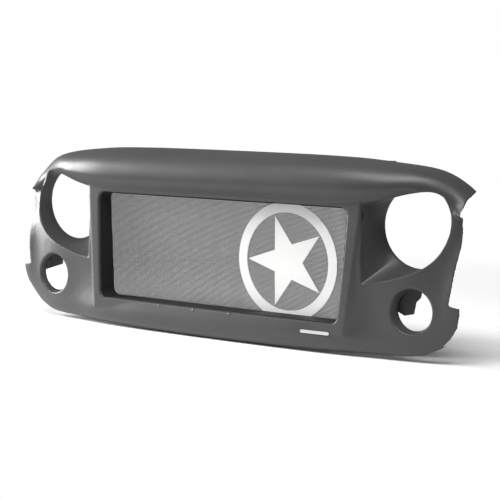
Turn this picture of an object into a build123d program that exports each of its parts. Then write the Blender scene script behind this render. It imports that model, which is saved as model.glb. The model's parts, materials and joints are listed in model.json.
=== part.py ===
"""Front grille of a square-nosed off-road car: one moulded shell with a mesh insert.

All sizes are in millimetres. +X runs along the width, +Y back into the car, +Z up.
The origin is the middle of the inner pair of clip holes, on the top face of the top flange.
Sections and outlines are drawn on planes whose own zero is the bezel plane and mid height.
"""

import os
from math import cos, radians, sin

from build123d import *
from scipy.interpolate import PchipInterpolator

os.makedirs("parts", exist_ok=True)

# Where the drawing planes lie from the clip line
FRONT = -132.0
MID = -232.0

# Moulded shell
SKIN = 3.6
WALL = 3.0
BROW_REAR = 118.0
STATION_STEP = 49.0

# Mesh recess: half widths at top and bottom, heights of its edges, corner radius
RECESS_TOP_X = 405.0
RECESS_LOW_X = 395.0
RECESS_TOP_Z = 119.0
RECESS_LOW_Z = -172.0
RECESS_CORNER = 20.0
RECESS_FLARE = 0.267

# Raised bezel round the recess
BEZEL_TILT = 3.95
BEZEL_FACE = -10.8
BEZEL_TOP = (468.6, 160.0)
BEZEL_LOW = (432.0, -214.0)
BEZEL_BEVEL = 14.0

# Layers behind the recess, front to back
LINER = 2.4
LINER_SINK = 6.0
LINER_BACK = 34.0
LINER_FLANGE = 2.6
MESH_FACE = LINER_BACK + LINER_FLANGE
MESH_THICK = 1.2
STRIP_FACE = MESH_FACE + MESH_THICK
STRIP_THICK = 2.5
STRIP_WIDE = 15.0
STRIP_LINE = 13.0
LAND = 22.0
SCREW_R = 1.9
PILOT_R = 1.9
BOSS_R = 5.0

# Headlights and signal lamps
LIGHT_X = 576.0
LIGHT_Z = 74.0
LIGHT_R = 103.5
LIGHT_BACK = 80.0
LIGHT_COLLAR = 8.0
LIGHT_LEAD = -6.0
SIGNAL_X = 600.0
SIGNAL_Z = -125.5
SIGNAL_R = 58.5
SIGNAL_SEAT_R = 51.0
SIGNAL_BACK = 22.0
SIGNAL_COLLAR = 6.0

# Small fixings
STUD_R = 1.5
WASHER = 0.8
HEAD_R = 3.8
HEAD_HIGH = 2.4

# Signal lamp brackets
BRACKET_FACE = 29.0
BRACKET_THICK = 3.0
BRACKET_INNER_SCREW = (538.0, -85.5)
BRACKET_OUTER_SCREW = (662.0, -85.5)
BRACKET_TOP_SCREW = (600.0, -53.5)
BRACKET_SCREWS = (BRACKET_INNER_SCREW, BRACKET_OUTER_SCREW, BRACKET_TOP_SCREW)

# Top flange and its clip holes
FLANGE_HALF = 465.0
FLANGE_FRONT = 112.0
FLANGE_REAR = 152.0
CLIP_X = (95.0, 255.0, 415.0)
CLIP_R = 4.2

# Emblem on the mesh
EMBLEM_X = 205.0
EMBLEM_Z = -35.0
RING_OUT = 156.0
RING_IN = 129.0
STAR_R = 125.0
STAR_NOTCH_R = 48.5
EMBLEM_THICK = 1.6

# Plain strip on the chin
BADGE_LONG = 86.0
BADGE_HIGH = 8.0
BADGE_NORMAL = (0.041, -1.0, 0.12)
BADGE_AT = (334.0, -26.2, -200.0)
BADGE_PROUD = 1.2
BADGE_THICK = 5.0

# Ribs inside the shell and posts on the chin
RIB_X = (60.0, 180.0, 300.0)
RIB_THICK = 2.4
POST_X = (150.0, 330.0)
POST_WIDE = 18.0
POST_THICK = 3.0
POST_REAR = 48.0
CLIP_SHEET = 0.8

# Outer line of the shell at some distances from the middle, as (depth, height), from the
# chin's rear edge over the face, the brow's lip, nose and crown to the brow's rear edge.
STATIONS = {
    0: ((14, -249), (-14, -251), (-32, -226), (-25, -178), (-12, -60), (-6, 40), (0, 123),
        (-26, 160), (-18, 206), (36, 241), (BROW_REAR, 238)),
    220: ((16, -247), (-12, -249), (-30, -225), (-24, -178), (-11, -60), (-5, 40), (0, 123),
          (-26, 161), (-18, 206), (36, 240.5), (BROW_REAR, 237.5)),
    390: ((24, -243), (-4, -245), (-21, -222), (-18, -178), (-6, -60), (-2, 40), (2, 127),
          (-23, 163), (-14, 206), (40, 238), (BROW_REAR, 235.5)),
    500: ((34, -240), (10, -242), (-4, -221), (-5, -178), (-2, -60), (3, 40), (8, 141),
          (-11, 170), (0, 205), (50, 231), (BROW_REAR, 230)),
    590: ((40, -236), (18, -238), (7, -218), (0, -172), (3, -60), (14, 40), (32, 154),
          (14, 176), (24, 203), (64, 220), (BROW_REAR, 223)),
    655: ((44, -222), (26, -224), (17, -206), (8, -160), (12, -60), (26, 40), (48, 150),
          (46, 167), (56, 186), (84, 200), (BROW_REAR, 206)),
    700: ((48, -192), (34, -194), (24, -180), (14, -146), (15, -66), (34, 40), (57, 130),
          (65, 150), (78, 163), (98, 173), (BROW_REAR, 179)),
    735: ((52, -164), (40, -166), (31, -154), (24, -132), (20, -66), (42, 40), (66, 120),
          (74, 132), (85, 141), (102, 147), (BROW_REAR, 150)),
}
HALF = max(STATIONS)


def section_plane(x):
    """Plane across the car at x; its axes read depth and height."""
    return Plane(origin=(x, FRONT, MID), x_dir=(0, 1, 0), z_dir=(1, 0, 0))


def front_plane(depth):
    """Plane facing forwards at a depth; its axes read width and height."""
    return Plane(origin=(0, FRONT + depth, MID), x_dir=(1, 0, 0), z_dir=(0, -1, 0))


def face_line():
    """Smooth blend of the stations, as a function of the distance from the middle."""
    right = sorted(STATIONS)
    places = [-x for x in reversed(right) if x] + right
    return PchipInterpolator(places, [STATIONS[abs(x)] for x in places])


def cuts():
    """Even cuts across the width, from the left end to the right end."""
    count = round(HALF / STATION_STEP)
    return [k * HALF / count for k in range(-count, count + 1)]


def mirrored_outline(points):
    """Right-hand outline points followed by their mirror images, back to the start."""
    return list(points) + [(-x, z) for x, z in reversed(points)]


def recess_points(grow, depth):
    """Corners of the recess trapezoid, grown all round; ahead of the liner its sides flare out."""
    ahead = max(LINER_BACK - depth, 0.0)
    low = (RECESS_LOW_X + grow, RECESS_LOW_Z - grow)
    top = (RECESS_TOP_X + grow + RECESS_FLARE * ahead, RECESS_TOP_Z + grow)
    return mirrored_outline([low, top])


def recess_block(grow, front, back):
    """Solid of the recess between two depths, flared in front of the liner's rear edge."""
    with BuildPart() as block:
        if front < LINER_BACK:
            for depth in (front, LINER_BACK):
                with BuildSketch(front_plane(depth)) as outline:
                    Polygon(*recess_points(grow, depth), align=None)
                    fillet(outline.vertices(), RECESS_CORNER + grow)
            loft(ruled=True)
        if back > LINER_BACK:
            with BuildSketch(front_plane(back)) as outline:
                Polygon(*recess_points(grow, back), align=None)
                fillet(outline.vertices(), RECESS_CORNER + grow)
            extrude(amount=back - max(front, LINER_BACK))
    return block.part


def steps(line, points):
    """Shares of a section line at its own points and half way between them."""
    shares = [line.param_at_point(Vector(*point)) for point in points[1:-1]]
    shares = [0.0] + shares + [1.0]
    return sorted(shares + [(a + b) / 2 for a, b in zip(shares, shares[1:])])


def skin():
    """Curved wall of the shell, of one thickness from the chin to the brow's rear edge."""
    line_at = face_line()
    with BuildPart() as wall:
        for x in cuts():
            with BuildSketch(section_plane(x)):
                with BuildLine():
                    outer = Spline(*[tuple(point) for point in line_at(x)])
                    inner = Spline(*[outer @ t + (outer % t).rotate(Axis.Z, -90) * SKIN
                                     for t in steps(outer, line_at(x))])
                    Line(outer @ 0, inner @ 0)
                    Line(outer @ 1, inner @ 1)
                make_face()
        loft()
    return wall.part


def ahead_of_skin(sink):
    """Everything in front of the skin, taken a little into its thickness."""
    line_at = face_line()
    far = -90.0
    with BuildPart() as ahead:
        for x in cuts():
            with BuildSketch(section_plane(x)):
                with BuildLine():
                    face = Spline(*[(depth + sink, height) for depth, height in line_at(x)[1:10]])
                    Polyline(face @ 1, (far, (face @ 1).Y), (far, (face @ 0).Y), face @ 0)
                make_face()
        loft()
    return ahead.part


def shell_outline():
    """Front outline of the shell: cut-back sides between an upper tab and a flared lower tab."""
    right = [(560, -300), (612, -242), (672, -213), (700, -184), (718, -158), (727, -122), (727, -108),
             (699, -103), (705, -65), (712, -8), (716, 50), (714, 100), (711, 146), (714, 160),
             (714, 172), (704, 300)]
    with BuildPart() as prism:
        with BuildSketch(front_plane(200)):
            Polygon(*mirrored_outline(right), align=None)
        extrude(amount=400)
    return prism.part


def bezel_plane(sink):
    """Plane of the bezel's face, which leans back a little towards the top."""
    plane = Plane(origin=(0, FRONT + BEZEL_FACE, MID), x_dir=(1, 0, 0), z_dir=(0, -1, 0))
    return plane.rotated((-BEZEL_TILT, 0, 0)).offset(-sink)


def bezel_points(inset):
    """Corners of the bezel's outer trapezoid."""
    right = [(BEZEL_LOW[0] - inset, BEZEL_LOW[1] + inset), (BEZEL_TOP[0] - inset, BEZEL_TOP[1] - inset)]
    return mirrored_outline(right)


def bezel_block(inset, sink):
    """Block under the raised bezel, bevelled round its face."""
    with BuildPart() as block:
        with BuildSketch(bezel_plane(sink)):
            Polygon(*bezel_points(inset + BEZEL_BEVEL), align=None)
        with BuildSketch(bezel_plane(sink + BEZEL_BEVEL)):
            Polygon(*bezel_points(inset), align=None)
        loft(ruled=True)
        with BuildSketch(bezel_plane(sink + BEZEL_BEVEL)):
            Polygon(*bezel_points(inset), align=None)
        extrude(amount=-60)
    return block.part


def beyond(depth):
    """Everything further back than a depth."""
    with BuildPart() as block:
        with BuildSketch(front_plane(depth)):
            Rectangle(1600, 800)
        extrude(amount=-300)
    return block.part


def light_point(x, z, grow):
    """A point of the headlight opening, moved out from the lamp's middle by a factor."""
    return LIGHT_X + (x - LIGHT_X) * grow, LIGHT_Z + (z - LIGHT_Z) * grow


def light_front(depth, grow):
    """Headlight opening seen from the front: inner side, scooped lower edge, slanting brow."""
    scoop = [(455, -72), (500, -64), (546, -51), (600, -31), (652, 4), (684, 62), (689, 125), (663, 188)]
    brow = [(663, 188), (600, 160), (520, 140), (450, 133)]
    with BuildSketch(front_plane(depth)) as opening:
        with BuildLine():
            Line(light_point(*brow[-1], grow), light_point(*scoop[0], grow))
            Spline(*[light_point(x, z, grow) for x, z in scoop])
            Spline(*[light_point(x, z, grow) for x, z in brow])
        make_face()
    return opening.sketch


def light_rear(depth, radius):
    """Round end of the headlight bucket, split where the opening has its corners."""
    corners = [Vector(radius, 0).rotate(Axis.Z, turn) for turn in (150, 228, 42)]
    middles = [Vector(radius, 0).rotate(Axis.Z, turn) for turn in (189, 315, 96)]
    with BuildSketch(front_plane(depth)) as ring:
        with BuildLine():
            for k in range(3):
                ends = [corners[k], middles[k], corners[(k + 1) % 3]]
                ThreePointArc(*[(LIGHT_X + v.X, LIGHT_Z + v.Y) for v in ends])
        make_face()
    return ring.sketch


def light_block(grow, radius, rear):
    """Straight lead-in in front of the skin, then walls that run to the round rear end."""
    with BuildPart() as block:
        add(light_front(LIGHT_LEAD, grow))
        add(light_rear(LIGHT_BACK, radius))
        loft(ruled=True)
        extrude(light_front(LIGHT_LEAD, grow), amount=60, dir=(0, -1, 0))
        extrude(light_rear(LIGHT_BACK, radius), amount=rear, dir=(0, 1, 0))
    return block.part


def signal_block(grow, rear):
    """Cone from in front of the skin to the lamp's seat, then straight."""
    slope = (SIGNAL_R - SIGNAL_SEAT_R) / SIGNAL_BACK
    with BuildPart() as cone:
        for depth in (-25, SIGNAL_BACK):
            with BuildSketch(front_plane(depth)):
                with Locations((SIGNAL_X, SIGNAL_Z)):
                    Circle(SIGNAL_R + grow - slope * depth)
        loft()
        with BuildSketch(front_plane(SIGNAL_BACK + rear)):
            with Locations((SIGNAL_X, SIGNAL_Z)):
                Circle(SIGNAL_SEAT_R + grow)
        extrude(amount=rear)
    return cone.part


def strip_screws():
    """Places of the screws that hold the mesh, round the recess."""
    rows = [(x, z) for z in (RECESS_TOP_Z + STRIP_LINE, RECESS_LOW_Z - STRIP_LINE)
            for x in (-300, -100, 100, 300)]
    sides = [(side_line(z), z) for z in (60.0, -30.0, -120.0)]
    return rows + sides + [(-x, z) for x, z in sides]


def side_line(z):
    """Distance from the middle of the side strips' centre line at a height."""
    share = (z - RECESS_LOW_Z) / (RECESS_TOP_Z - RECESS_LOW_Z)
    return RECESS_LOW_X + share * (RECESS_TOP_X - RECESS_LOW_X) + STRIP_LINE


def badge_block():
    """Plain rounded strip that sits on the curve of the chin."""
    x, depth, height = BADGE_AT
    face = Plane(origin=(x, FRONT + depth, MID + height), x_dir=(1, 0.041, 0), z_dir=BADGE_NORMAL)
    with BuildPart() as block:
        with BuildSketch(face.offset(BADGE_PROUD)):
            SlotOverall(BADGE_LONG, BADGE_HIGH)
        extrude(amount=-BADGE_THICK)
        add(right_half.part, mode=Mode.SUBTRACT)
    return block.part.solids().sort_by(Axis.Y)[0]


def rib(x, start, end, back, foot):
    """Rib inside the skin between two shares of the section line, down or up to a foot height."""
    line_at = face_line()
    with BuildPart() as web:
        with BuildSketch(section_plane(x - RIB_THICK / 2)):
            with BuildLine():
                outer = Spline(*[tuple(point) for point in line_at(x)], mode=Mode.PRIVATE)
                steps = [start + (end - start) * i / 12 for i in range(13)]
                inner = [outer @ t + (outer % t).rotate(Axis.Z, -90) * SKIN / 2 for t in steps]
                edge = Spline(*inner)
                far = inner[-1] if abs(inner[-1].Y - foot) > abs(inner[0].Y - foot) else inner[0]
                near = inner[0] if far is inner[-1] else inner[-1]
                Polyline(far, (back, far.Y), (back, foot), (near.X, foot), near)
            make_face()
        extrude(amount=RIB_THICK)
    return web.part


def post_height(x):
    """Height of the middle of a post on the chin's rear edge."""
    return float(face_line()(x)[0][1]) + SKIN / 2 + 0.6


def bracket(points, screws):
    """Flat bracket across part of a signal lamp seat, drilled for its screws."""
    with BuildSketch(front_plane(BRACKET_FACE)) as outline:
        with BuildLine():
            Polyline(*points, close=True)
        make_face()
        fillet(outline.vertices(), 4)
        with Locations(*screws):
            Circle(SCREW_R, mode=Mode.SUBTRACT)
    with BuildPart() as plate:
        extrude(outline.sketch, amount=BRACKET_THICK, dir=(0, 1, 0))
    return plate.part


# One moulded shell: skin, raised bezel, headlight buckets, signal tubes and fixing lands
with BuildPart() as right_lamps:
    add(light_block(1.035, LIGHT_R + WALL, LIGHT_COLLAR))
    add(signal_block(WALL, SIGNAL_COLLAR))
    with BuildSketch(front_plane(BRACKET_FACE)):
        with Locations(*BRACKET_SCREWS):
            Circle(BOSS_R)
    extrude(amount=BRACKET_FACE + 12)
    add(ahead_of_skin(1.6), mode=Mode.SUBTRACT)

with BuildPart() as right_openings:
    add(light_block(1.0, LIGHT_R, 30))
    add(signal_block(0, 30))
    with BuildSketch(front_plane(BRACKET_FACE)):
        with Locations(*BRACKET_SCREWS):
            Circle(PILOT_R)
    extrude(amount=14)

with BuildPart() as recess_wall:
    add(recess_block(LINER + WALL, -60, LINER_BACK))
    with BuildSketch(bezel_plane(1.5)):
        Rectangle(1600, 1000)
    extrude(amount=120, mode=Mode.SUBTRACT)
    add(recess_block(LINER + LAND, LINER_BACK - WALL, LINER_BACK))

with BuildPart() as bezel:
    add(bezel_block(0, 0))
    add(beyond(LINER_BACK - 1), mode=Mode.SUBTRACT)
    add(bezel_block(3.2, 3.6), mode=Mode.SUBTRACT)
    add(recess_wall.part)
    add(recess_block(LINER, -90, 60), mode=Mode.SUBTRACT)

with BuildPart() as right_half:
    add(skin())
    with Locations((HALF, 0, MID)):
        Box(2 * HALF, 800, 900, mode=Mode.INTERSECT)
    add(shell_outline(), mode=Mode.INTERSECT)
    with BuildSketch(front_plane(30)):
        Polygon(*mirrored_outline([(430, -177), (448, 124)]), align=None)
    extrude(amount=120, mode=Mode.SUBTRACT)

with BuildPart() as right_bezel:
    add(bezel.part)
    with Locations((HALF, 0, MID)):
        Box(2 * HALF, 800, 900, mode=Mode.INTERSECT)
    with BuildSketch(front_plane(LINER_BACK - WALL)):
        with Locations(*[(x, z) for x, z in strip_screws() if x > 0]):
            Circle(BOSS_R)
    extrude(amount=15)
    with BuildSketch(front_plane(LINER_BACK)):
        with Locations(*[(x, z) for x, z in strip_screws() if x > 0]):
            Circle(PILOT_R)
    extrude(amount=16, mode=Mode.SUBTRACT)

with BuildPart() as grille_shell:
    add(right_half.part)
    add(right_bezel.part)
    add(right_lamps.part)
    add(right_openings.part, mode=Mode.SUBTRACT)
    with BuildSketch(Plane.XY):
        with Locations((FLANGE_HALF / 2, FRONT + (FLANGE_FRONT + FLANGE_REAR) / 2)):
            Rectangle(FLANGE_HALF, FLANGE_REAR - FLANGE_FRONT)
        with Locations(*[(x, 0) for x in CLIP_X]):
            Circle(CLIP_R, mode=Mode.SUBTRACT)
    extrude(amount=-WALL)
    with BuildSketch(front_plane(FLANGE_FRONT + 5)):
        Polygon((0, 229), (465, 229), (465, 230), (390, 233.8), (220, 235.8), (0, 236.3), align=None)
    extrude(amount=4)
    for rib_x in RIB_X:
        add(rib(rib_x, 0.645, 0.86, 50, RECESS_TOP_Z + 4))
        add(rib(rib_x, 0.04, 0.15, 12, RECESS_LOW_Z - 4))
    for post_x in POST_X:
        with Locations((post_x, FRONT + (8 + POST_REAR) / 2, MID + post_height(post_x))):
            Box(POST_WIDE, POST_REAR - 8, POST_THICK)
    left = mirror(grille_shell.part, about=Plane.YZ, mode=Mode.PRIVATE)
    add(left)
grille_shell.part.label = "grille_shell"
export_step(grille_shell.part, "parts/grille_shell.step")

# Black liner of the recess, with a rear flange clamped under the mesh
with BuildPart() as mesh_surround:
    add(recess_block(LINER, -60, LINER_BACK))
    with BuildSketch(bezel_plane(LINER_SINK)):
        Rectangle(1600, 1000)
    extrude(amount=120, mode=Mode.SUBTRACT)
    add(recess_block(LAND, LINER_BACK, MESH_FACE))
    add(recess_block(0, -90, 60), mode=Mode.SUBTRACT)
    with BuildSketch(front_plane(MESH_FACE)):
        with Locations(*strip_screws()):
            Circle(SCREW_R)
    extrude(amount=10, mode=Mode.SUBTRACT)
mesh_surround.part.label = "mesh_surround"
export_step(mesh_surround.part, "parts/mesh_surround.step")


def stud_places():
    """Places of the emblem's studs: one under each star point, four under the ring."""
    star = [(EMBLEM_X + 78 * cos(radians(a)), EMBLEM_Z + 78 * sin(radians(a))) for a in range(36, 396, 72)]
    middle = (RING_OUT + RING_IN) / 2
    ring = [(EMBLEM_X + middle * cos(radians(a)), EMBLEM_Z + middle * sin(radians(a)))
            for a in (45, 135, 225, 315)]
    return star, ring


# Mesh panel, drawn as one thin plate with its fixing holes
star_studs, ring_studs = stud_places()
with BuildPart() as mesh_panel:
    add(recess_block(LAND - 2, MESH_FACE, STRIP_FACE))
    with BuildSketch(front_plane(STRIP_FACE)):
        with Locations(*strip_screws()):
            Circle(SCREW_R)
        with Locations(*star_studs, *ring_studs):
            Circle(STUD_R)
    extrude(amount=10, mode=Mode.SUBTRACT)
mesh_panel.part.label = "mesh_panel"
export_step(mesh_panel.part, "parts/mesh_panel.step")


def strip(points, name):
    """Flat retainer strip behind the mesh, drilled for its screws."""
    with BuildPart() as bar:
        with BuildSketch(front_plane(STRIP_FACE + STRIP_THICK)):
            Polygon(*points, align=None)
            with Locations(*strip_screws()):
                Circle(SCREW_R, mode=Mode.SUBTRACT)
        extrude(amount=STRIP_THICK)
    bar.part.label = name
    return bar.part


half = STRIP_WIDE / 2
top_z = RECESS_TOP_Z + STRIP_LINE
low_z = RECESS_LOW_Z - STRIP_LINE
side_points = [(side_line(z) + step, z)
               for z, step in ((-160, -half), (-160, half), (108, half), (108, -half))]
strips = {
    "mesh_retainer_top": [(-385, top_z - half), (385, top_z - half),
                          (385, top_z + half), (-385, top_z + half)],
    "mesh_retainer_bottom": [(-375, low_z - half), (375, low_z - half),
                             (375, low_z + half), (-375, low_z + half)],
    "mesh_retainer_right": side_points,
    "mesh_retainer_left": [(-x, z) for x, z in side_points],
}
for name, points in strips.items():
    export_step(strip(points, name), f"parts/{name}.step")

# Washers and pan-head screws that clamp the strips, mesh and liner to the shell
with BuildPart() as mesh_washers:
    with BuildSketch(front_plane(STRIP_FACE + STRIP_THICK + WASHER)):
        with Locations(*strip_screws()):
            Circle(5.0)
            Circle(SCREW_R, mode=Mode.SUBTRACT)
    extrude(amount=WASHER)
mesh_washers.part.label = "mesh_washers"
export_step(mesh_washers.part, "parts/mesh_washers.step")


def pan_screws(places, seat, reach, label):
    """Pan-head screws entering forwards from a seat depth, with a cross recess."""
    with BuildPart() as screws:
        with BuildSketch(front_plane(seat)):
            with Locations(*places):
                Circle(SCREW_R)
        extrude(amount=reach)
        with BuildSketch(front_plane(seat)):
            with Locations(*places):
                Circle(HEAD_R)
        extrude(amount=-HEAD_HIGH, taper=12)
        with BuildSketch(front_plane(seat + HEAD_HIGH)):
            with Locations(*places):
                Rectangle(3.6, 0.9)
                Rectangle(0.9, 3.6)
        extrude(amount=1.2, mode=Mode.SUBTRACT)
    screws.part.label = label
    return screws.part


export_step(pan_screws(strip_screws(), STRIP_FACE + STRIP_THICK + WASHER, 20, "mesh_screws"),
            "parts/mesh_screws.step")


# Emblem: a plain star inside a plain ring, each a thin plate with studs through the mesh
def studs(places):
    """Short studs from the back of the emblem through the mesh."""
    with BuildPart() as pins:
        with BuildSketch(front_plane(STRIP_FACE + 3.5)):
            with Locations(*places):
                Circle(STUD_R)
        extrude(amount=3.5 + MESH_THICK)
    return pins.part


with BuildPart() as emblem_star:
    with BuildSketch(front_plane(MESH_FACE)):
        turns = [radians(36 * k) for k in range(10)]
        reach = [STAR_NOTCH_R, STAR_R]
        Polygon(*[(EMBLEM_X + reach[k % 2] * cos(a), EMBLEM_Z + reach[k % 2] * sin(a))
                  for k, a in enumerate(turns)], align=None)
    extrude(amount=EMBLEM_THICK)
    add(studs(star_studs))
emblem_star.part.label = "emblem_star"
export_step(emblem_star.part, "parts/emblem_star.step")

with BuildPart() as emblem_ring:
    with BuildSketch(front_plane(MESH_FACE)):
        with Locations((EMBLEM_X, EMBLEM_Z)):
            Circle(RING_OUT)
            Circle(RING_IN, mode=Mode.SUBTRACT)
    extrude(amount=EMBLEM_THICK)
    add(recess_block(-0.4, 0, MESH_FACE), mode=Mode.INTERSECT)
    add(studs(ring_studs))
emblem_ring.part.label = "emblem_ring"
export_step(emblem_ring.part, "parts/emblem_ring.step")

with BuildPart() as emblem_push_nuts:
    with BuildSketch(front_plane(STRIP_FACE + 1.0)):
        with Locations(*star_studs, *ring_studs):
            Circle(4.5)
            Circle(STUD_R, mode=Mode.SUBTRACT)
    extrude(amount=1.0)
emblem_push_nuts.part.label = "emblem_push_nuts"
export_step(emblem_push_nuts.part, "parts/emblem_push_nuts.step")

# Plain strip on the chin
badge_strip = Part() + badge_block()
badge_strip.label = "badge_strip"
export_step(badge_strip, "parts/badge_strip.step")

# Signal lamp brackets: a tongue on the right, a slanting strap on the left
right_tongue = [(528, -72), (546, -66), (588, -44), (612, -44), (618, -60), (611, -93), (598, -106), (592, -136),
                (565, -142), (541, -131), (528, -98)]
signal_bracket_right = bracket(right_tongue, [BRACKET_INNER_SCREW, BRACKET_TOP_SCREW])
signal_bracket_right.label = "signal_bracket_right"
export_step(signal_bracket_right, "parts/signal_bracket_right.step")

left_strap = [(588, -44), (612, -44), (650, -70), (674, -72), (674, -128), (588, -101)]
signal_bracket_left = mirror(bracket(left_strap, [BRACKET_OUTER_SCREW, BRACKET_TOP_SCREW]), about=Plane.YZ)
signal_bracket_left.label = "signal_bracket_left"
export_step(signal_bracket_left, "parts/signal_bracket_left.step")

bracket_places = [BRACKET_INNER_SCREW, BRACKET_TOP_SCREW]
bracket_places += [(-x, z) for x, z in (BRACKET_OUTER_SCREW, BRACKET_TOP_SCREW)]
export_step(pan_screws(bracket_places, BRACKET_FACE + BRACKET_THICK, 14, "bracket_screws"),
            "parts/bracket_screws.step")

# Sprung sheet clips pushed over the posts on the chin
with BuildPart() as lower_snap_clips:
    for x in (-POST_X[1], -POST_X[0], POST_X[0], POST_X[1]):
        high = MID + post_height(abs(x))
        with Locations((x, FRONT + POST_REAR - 10, high)):
            Box(POST_WIDE - 4, 22, POST_THICK + 2 * CLIP_SHEET)
        with Locations((x, FRONT + POST_REAR - 11, high)):
            Box(POST_WIDE, 22, POST_THICK, mode=Mode.SUBTRACT)
        for side in (-1, 1):
            with BuildSketch(Plane(origin=(x - 4, FRONT + POST_REAR, high), x_dir=(0, 1, 0), z_dir=(1, 0, 0))):
                lift = side * (POST_THICK / 2 + CLIP_SHEET)
                Polygon((-19, lift), (-6, lift + side * 4), (-6, lift + side * 3.2), (-17, lift - side * 0.1),
                        align=None)
            extrude(amount=8)
lower_snap_clips.part.label = "lower_snap_clips"
export_step(lower_snap_clips.part, "parts/lower_snap_clips.step")
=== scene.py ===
"""Looks of the front grille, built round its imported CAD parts. Lengths are in metres."""

import json
import math

import bpy
import numpy as np
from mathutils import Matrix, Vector


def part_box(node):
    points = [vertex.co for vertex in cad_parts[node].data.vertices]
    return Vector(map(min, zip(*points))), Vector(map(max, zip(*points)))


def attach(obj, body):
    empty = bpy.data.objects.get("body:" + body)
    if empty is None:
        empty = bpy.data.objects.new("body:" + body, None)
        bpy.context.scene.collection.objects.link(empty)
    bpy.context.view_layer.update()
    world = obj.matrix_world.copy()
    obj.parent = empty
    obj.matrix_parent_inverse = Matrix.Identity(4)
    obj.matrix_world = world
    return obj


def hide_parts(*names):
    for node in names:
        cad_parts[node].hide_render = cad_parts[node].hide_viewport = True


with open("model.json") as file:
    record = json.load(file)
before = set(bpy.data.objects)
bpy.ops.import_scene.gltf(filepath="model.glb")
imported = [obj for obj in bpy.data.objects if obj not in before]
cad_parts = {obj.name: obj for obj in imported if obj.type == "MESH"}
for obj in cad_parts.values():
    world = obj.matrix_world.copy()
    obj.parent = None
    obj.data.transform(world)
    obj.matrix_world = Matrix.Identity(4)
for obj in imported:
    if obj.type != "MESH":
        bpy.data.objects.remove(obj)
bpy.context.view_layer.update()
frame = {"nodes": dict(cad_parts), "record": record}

# Shell: grid size of the rounding pass, and how far its edges are eased
SHELL_GRID = 0.0018
SHELL_EASE = 14

# Woven mesh: pitch and section of its flat wires, how far their ends stay inside the panel's
# edge, and how much narrower the panel's lower edge is on each side
WIRE_PITCH = 0.0032
WIRE_WIDE = 0.00155
WIRE_THICK = 0.00055
WIRE_END = 0.002
PANEL_TAPER = 0.010

# Finishes: radius of the lighter edges (worn edges and painted edge highlight), spread of the roughness,
# height of the grain
EDGE_RADIUS = 0.0012
ROUGH_SPREAD = 0.07
GRAIN_HEIGHT = 0.0004

# Camera: where it stands and how it looks, from the side and from above
CAMERA_AT = (2.564, -3.447, 0.258)
CAMERA_TURN = 36.5
CAMERA_DIP = 6.88
CAMERA_LENS = 114.06

# Studio: where the floor fades out, how far it lies below the object, the strength of the room,
# and the place, aim, size and power of the two lamps
FLOOR_GAP = 0.0005
FADE_START = 0.8
FADE_END = 1.8
ROOM_FILL = 0.22
KEY_AT = (-3.4, -0.9, 0.6)
KEY_AIM = (0.0, 0.0, -0.15)
KEY_SIZE = (0.9, 1.8)
KEY_POWER = 205.0
TOP_AT = (0.5, -1.5, 2.6)
TOP_AIM = (0.0, -0.1, -0.2)
TOP_SIZE = (3.0, 1.4)
TOP_POWER = 125.0


def linked(obj):
    """Put an object into the scene."""
    bpy.context.scene.collection.objects.link(obj)
    return obj


def evaluated_mesh(obj, name):
    """Mesh of an object with its modifiers applied."""
    graph = bpy.context.evaluated_depsgraph_get()
    mesh = bpy.data.meshes.new_from_object(obj.evaluated_get(graph))
    mesh.name = name
    return mesh


def shade_smooth(mesh):
    """Smooth shading on every face."""
    mesh.polygons.foreach_set("use_smooth", [True] * len(mesh.polygons))
    mesh.update()


def new_material(name):
    """Empty node material with a principled shader."""
    material = bpy.data.materials.new(name)
    material.use_nodes = True
    nodes = material.node_tree.nodes
    nodes.clear()
    out = nodes.new("ShaderNodeOutputMaterial")
    shader = nodes.new("ShaderNodeBsdfPrincipled")
    material.node_tree.links.new(shader.outputs["BSDF"], out.inputs["Surface"])
    return material, shader


def noise(material, scale, detail=2.0, rough=0.5):
    """Noise in object coordinates."""
    nodes, links = material.node_tree.nodes, material.node_tree.links
    where = nodes.new("ShaderNodeTexCoord")
    texture = nodes.new("ShaderNodeTexNoise")
    texture.inputs["Scale"].default_value = scale
    texture.inputs["Detail"].default_value = detail
    texture.inputs["Roughness"].default_value = rough
    links.new(where.outputs["Object"], texture.inputs["Vector"])
    return texture


def ramp(material, source, low, high, start=0.0, end=1.0):
    """Map a factor onto a range of values."""
    nodes, links = material.node_tree.nodes, material.node_tree.links
    node = nodes.new("ShaderNodeMapRange")
    node.inputs["From Min"].default_value = start
    node.inputs["From Max"].default_value = end
    node.inputs["To Min"].default_value = low
    node.inputs["To Max"].default_value = high
    links.new(source, node.inputs["Value"])
    return node.outputs["Result"]


def two_tone(material, factor, dark, light):
    """Mix two colours by a factor."""
    nodes, links = material.node_tree.nodes, material.node_tree.links
    mix = nodes.new("ShaderNodeMix")
    mix.data_type = "RGBA"
    mix.inputs["A"].default_value = (*dark, 1.0)
    mix.inputs["B"].default_value = (*light, 1.0)
    links.new(factor, mix.inputs["Factor"])
    return mix.outputs["Result"]


def edge_wear_and_highlight(material, radius):
    """Factor that is one on exposed edges and nought elsewhere; it lightens the edges, as wear and as a
    painted edge highlight.
    """
    nodes, links = material.node_tree.nodes, material.node_tree.links
    bevel = nodes.new("ShaderNodeBevel")
    bevel.samples = 4
    bevel.inputs["Radius"].default_value = radius
    geometry = nodes.new("ShaderNodeNewGeometry")
    dot = nodes.new("ShaderNodeVectorMath")
    dot.operation = "DOT_PRODUCT"
    links.new(bevel.outputs["Normal"], dot.inputs[0])
    links.new(geometry.outputs["Normal"], dot.inputs[1])
    return ramp(material, dot.outputs["Value"], 1.0, 0.0, 0.75, 0.98)


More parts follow.
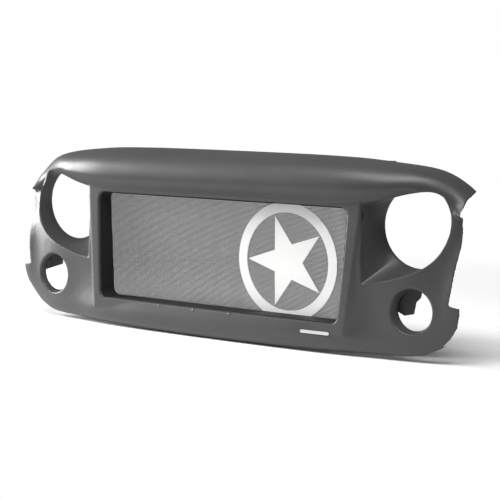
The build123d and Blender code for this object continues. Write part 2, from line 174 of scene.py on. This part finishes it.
def surface(name, dark, light, rough, metal=0.0, grain=900.0, bump=0.05, broad=6.0, wear_and_highlight_colour=None,
            specular=0.5):
    """Procedural finish: broad colour drift, fine grain in bump and roughness, lighter edges that are part
    wear and part painted edge highlight.
    """
    material, shader = new_material(name)
    nodes, links = material.node_tree.nodes, material.node_tree.links
    drift = noise(material, broad, 3.0, 0.6)
    fine = noise(material, grain, 3.0, 0.6)
    colour = two_tone(material, ramp(material, drift.outputs["Fac"], 0.0, 1.0, 0.3, 0.7), dark, light)
    # Lighter colour on exposed edges: part wear, part painted edge highlight
    if wear_and_highlight_colour:
        worn_and_lit_edges = edge_wear_and_highlight(material, EDGE_RADIUS)
        mix = nodes.new("ShaderNodeMix")
        mix.data_type = "RGBA"
        mix.inputs["B"].default_value = (*wear_and_highlight_colour, 1.0)
        links.new(worn_and_lit_edges, mix.inputs["Factor"])
        links.new(colour, mix.inputs["A"])
        colour = mix.outputs["Result"]
    links.new(colour, shader.inputs["Base Color"])
    spread = ramp(material, fine.outputs["Fac"], rough - ROUGH_SPREAD, rough + ROUGH_SPREAD, 0.3, 0.7)
    links.new(spread, shader.inputs["Roughness"])
    shader.inputs["Metallic"].default_value = metal
    shader.inputs["Specular IOR Level"].default_value = specular
    relief = nodes.new("ShaderNodeBump")
    relief.inputs["Strength"].default_value = bump
    relief.inputs["Distance"].default_value = GRAIN_HEIGHT
    links.new(fine.outputs["Fac"], relief.inputs["Height"])
    links.new(relief.outputs["Normal"], shader.inputs["Normal"])
    return material


finishes = {
    # Shell: its lighter edge colour is partly wear and partly a painted edge highlight
    "shell_plastic": surface("moulded_plastic", (0.042, 0.042, 0.044), (0.050, 0.050, 0.053), 0.42,
                             grain=1400.0, bump=0.25, wear_and_highlight_colour=(0.062, 0.063, 0.066)),
    # Liner: near-black, partly the plastic's own black and partly painted shade for the recess walls
    "liner_plastic": surface("liner_black_and_painted_shade", (0.010, 0.010, 0.011), (0.014, 0.014, 0.015), 0.6, grain=1200.0,
                             bump=0.2, specular=0.3),
    "mesh_metal": surface("coated_wire", (0.035, 0.036, 0.038), (0.05, 0.051, 0.054), 0.45, grain=2500.0,
                          bump=0.3),
    "strip_metal": surface("coated_strip", (0.012, 0.012, 0.013), (0.02, 0.02, 0.021), 0.5, grain=1600.0,
                           bump=0.3, wear_and_highlight_colour=(0.12, 0.12, 0.12)),
    "zinc": surface("zinc_plate", (0.50, 0.51, 0.53), (0.62, 0.63, 0.62), 0.32, metal=1.0, grain=1800.0,
                    bump=0.15, broad=60.0, wear_and_highlight_colour=(0.7, 0.7, 0.7)),
    "emblem_white": surface("emblem_paint", (0.70, 0.70, 0.69), (0.76, 0.76, 0.75), 0.45, grain=1500.0,
                            bump=0.15, wear_and_highlight_colour=(0.72, 0.72, 0.71)),
    "badge_metal": surface("badge_satin", (0.72, 0.72, 0.71), (0.82, 0.82, 0.81), 0.35, metal=0.6,
                           grain=2200.0, bump=0.2),
    "bracket_plastic": surface("bracket_black", (0.012, 0.012, 0.013), (0.018, 0.018, 0.019), 0.55,
                               grain=1300.0, bump=0.25, wear_and_highlight_colour=(0.04, 0.04, 0.04)),
    "spring_steel": surface("spring_dark", (0.10, 0.10, 0.11), (0.17, 0.17, 0.18), 0.4, metal=1.0,
                            grain=1500.0, bump=0.25, broad=80.0, wear_and_highlight_colour=(0.35, 0.35, 0.36)),
}
slot_of = {part["node"]: part["material_slot"] for part in frame["record"]["subparts"]}

for node, obj in frame["nodes"].items():
    for slot in obj.material_slots:
        slot.material = finishes[slot_of[node]]


def moulded_shell():
    """The shell with the eased edges of a moulding: its CAD form on a fine grid, then relaxed."""
    source = frame["nodes"]["grille_shell"]
    rough = linked(bpy.data.objects.new("shell_work", source.data.copy()))
    rough.data.transform(source.matrix_world)
    grid = rough.modifiers.new("grid", "REMESH")
    grid.mode = "VOXEL"
    grid.voxel_size = SHELL_GRID * 1
    ease = rough.modifiers.new("ease", "SMOOTH")
    ease.factor = 0.5
    ease.iterations = SHELL_EASE
    mesh = evaluated_mesh(rough, "moulded_shell")
    bpy.data.objects.remove(rough)
    shade_smooth(mesh)
    mesh.materials.clear()
    mesh.materials.append(finishes["shell_plastic"])
    shell = linked(bpy.data.objects.new("moulded_shell", mesh))
    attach(shell, "root")
    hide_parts("grille_shell")


def ribbon(points, half_wide, half_thick, across):
    """Corners of a flat wire along points, four at each point."""
    offsets = np.array([(-half_wide, -half_thick), (half_wide, -half_thick), (half_wide, half_thick),
                        (-half_wide, half_thick)])
    sideways = offsets[None, :, 0, None] * across
    through = offsets[None, :, 1, None] * np.array((0, 1, 0))
    return (points[:, None, :] + sideways + through).reshape(-1, 3)


def woven_mesh():
    """Flat wires woven over and under each other, filling the mesh panel's outline."""
    low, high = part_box("mesh_panel")
    middle = (low[1] + high[1]) / 2
    lift = (high[1] - low[1]) / 2 - WIRE_THICK / 2
    half_top = high[0]
    half_low = half_top - PANEL_TAPER
    count_x = int(half_top / WIRE_PITCH)
    count_z = int((high[2] - low[2]) / WIRE_PITCH) - 1
    xs = np.arange(-count_x, count_x + 1) * WIRE_PITCH
    zs = low[2] + WIRE_PITCH * 0.75 + np.arange(count_z + 1) * WIRE_PITCH
    verts, faces = [], []

    def inside(x, z):
        """True where a crossing of wires lies well within the panel's sloping sides."""
        half = half_low + (half_top - half_low) * (z - low[2]) / (high[2] - low[2])
        return abs(x) < half - WIRE_END

    def add_wire(points, across):
        """One wire: its corners, and the four sides between each pair of points."""
        base = sum(len(v) for v in verts)
        verts.append(ribbon(points, WIRE_WIDE / 2, WIRE_THICK / 2, np.array(across)))
        for k in range(len(points) - 1):
            for c in range(4):
                a = base + 4 * k + c
                b = base + 4 * k + (c + 1) % 4
                faces.append((a, b, b + 4, a + 4))

    for i, x in enumerate(xs):
        keep = [k for k, z in enumerate(zs) if inside(x, z)]
        if len(keep) < 3:
            continue
        points = np.array([(x, middle + lift * (1 if (i + k) % 2 else -1), zs[k]) for k in keep])
        add_wire(points, (1, 0, 0))
    for k, z in enumerate(zs):
        keep = [i for i, x in enumerate(xs) if inside(x, z)]
        points = np.array([(xs[i], middle - lift * (1 if (i + k) % 2 else -1), z) for i in keep])
        add_wire(points, (0, 0, 1))
    mesh = bpy.data.meshes.new("woven_mesh")
    mesh.from_pydata(np.concatenate(verts).tolist(), [], faces)
    mesh.update()
    mesh.materials.append(finishes["mesh_metal"])
    obj = linked(bpy.data.objects.new("woven_mesh", mesh))
    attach(obj, "root")
    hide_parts("mesh_panel")


moulded_shell()
woven_mesh()


def area_light(name, place, target, size, power):
    """Soft rectangular lamp facing a point."""
    data = bpy.data.lights.new(name, "AREA")
    data.shape = "RECTANGLE"
    data.size, data.size_y = size
    data.energy = power
    lamp = linked(bpy.data.objects.new(name, data))
    lamp.location = place
    lamp.rotation_euler = (Vector(target) - Vector(place)).to_track_quat("-Z", "Y").to_euler()


def white_room(fill):
    """World that the camera sees as plain white and that lights the object gently."""
    world = bpy.data.worlds.new("room")
    world.use_nodes = True
    nodes, links = world.node_tree.nodes, world.node_tree.links
    lit = nodes["Background"]
    lit.inputs["Color"].default_value = (1.0, 1.0, 1.0, 1.0)
    lit.inputs["Strength"].default_value = fill
    seen = nodes.new("ShaderNodeBackground")
    seen.inputs["Color"].default_value = (1.0, 1.0, 1.0, 1.0)
    path = nodes.new("ShaderNodeLightPath")
    mix = nodes.new("ShaderNodeMixShader")
    links.new(path.outputs["Is Camera Ray"], mix.inputs[0])
    links.new(lit.outputs["Background"], mix.inputs[1])
    links.new(seen.outputs["Background"], mix.inputs[2])
    links.new(mix.outputs["Shader"], nodes["World Output"].inputs["Surface"])
    bpy.context.scene.world = world


def floor_finish():
    """White paper that fades into the white room some way out from the object."""
    material = surface("floor_paper", (0.90, 0.90, 0.90), (0.92, 0.92, 0.92), 0.9, grain=40.0, bump=0.02,
                       specular=0.1)
    nodes, links = material.node_tree.nodes, material.node_tree.links
    where = nodes.new("ShaderNodeTexCoord")
    far = nodes.new("ShaderNodeVectorMath")
    far.operation = "LENGTH"
    links.new(where.outputs["Object"], far.inputs[0])
    shader = next(node for node in nodes if node.type == "BSDF_PRINCIPLED")
    links.new(ramp(material, far.outputs["Value"], 1.0, 0.0, FADE_START, FADE_END), shader.inputs["Alpha"])
    return material


def studio():
    """Pale floor, soft lamps and a white room."""
    floor_z = min(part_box(node)[0][2] for node in frame["nodes"]) - FLOOR_GAP
    mesh = bpy.data.meshes.new("studio_floor")
    corners = [(-FADE_END, -FADE_END), (FADE_END, -FADE_END), (FADE_END, FADE_END), (-FADE_END, FADE_END)]
    mesh.from_pydata([(x, y, 0.0) for x, y in corners], [], [(0, 1, 2, 3)])
    mesh.materials.append(floor_finish())
    floor = linked(bpy.data.objects.new("studio_floor", mesh))
    floor.location = (0.0, 0.0, floor_z)
    white_room(ROOM_FILL)
    area_light("key_left", KEY_AT, KEY_AIM, KEY_SIZE, KEY_POWER)
    area_light("front_top", TOP_AT, TOP_AIM, TOP_SIZE, TOP_POWER)


def camera():
    """Camera at the place and angle from which the grille is usually shown."""
    data = bpy.data.cameras.new("main_camera")
    data.lens = CAMERA_LENS
    data.clip_end = 60.0
    eye = linked(bpy.data.objects.new("main_camera", data))
    eye.location = CAMERA_AT
    eye.rotation_euler = (math.radians(90.0 - CAMERA_DIP), 0.0, math.radians(CAMERA_TURN))
    bpy.context.scene.camera = eye


studio()
camera()
bpy.context.scene.view_settings.view_transform = "Standard"
